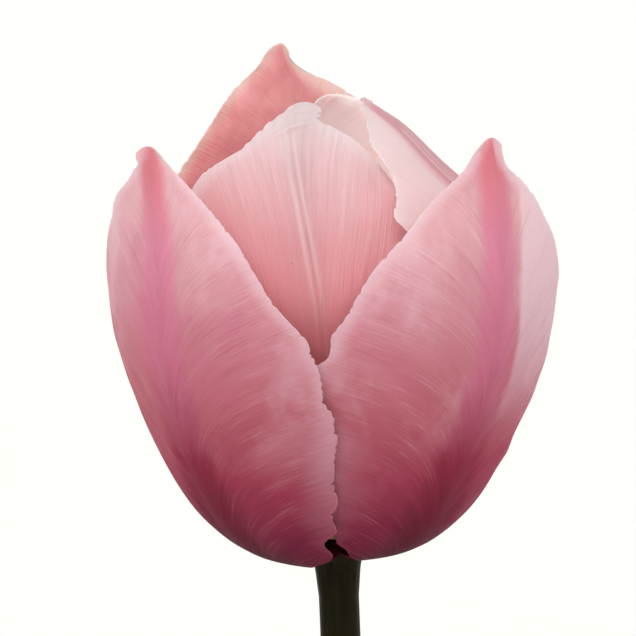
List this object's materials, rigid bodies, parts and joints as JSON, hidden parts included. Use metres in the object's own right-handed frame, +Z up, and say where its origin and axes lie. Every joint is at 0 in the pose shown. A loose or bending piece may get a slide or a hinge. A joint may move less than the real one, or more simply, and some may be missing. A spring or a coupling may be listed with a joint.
{
  "type": "tulip in a vase",
  "caption": "Salmon-pink tulip with overlapping tepals on a cut stem with clasping leaves, standing in water in a plain bottle-shaped glazed vase.",
  "frame": {"origin": "centre of the vase's flat base, on the surface that the vase stands on", "axes": "+Z up along the vase's axis to the bloom, -Y the side of the bloom that the picture shows, +X to that viewer's right"},
  "size_m": [0.0846, 0.0846, 0.3944],
  "materials": {
    "glaze": "gloss",
    "water": "polished",
    "stem": "satin",
    "leaf": "satin",
    "outer_tepal": "satin",
    "inner_tepal": "satin",
    "pistil": "satin",
    "stamen": "matte"
  },
  "bodies": {
    "root": {"vase": "glaze", "water": "water", "stem": "stem", "leaf_lower": "leaf", "leaf_upper": "leaf", "outer_tepal_left": "outer_tepal", "outer_tepal_right": "outer_tepal", "outer_tepal_back": "outer_tepal", "inner_tepal_right": "inner_tepal", "inner_tepal_front": "inner_tepal", "inner_tepal_back": "inner_tepal", "pistil": "pistil", "stamens": "stamen"}
  },
  "joints": []
}
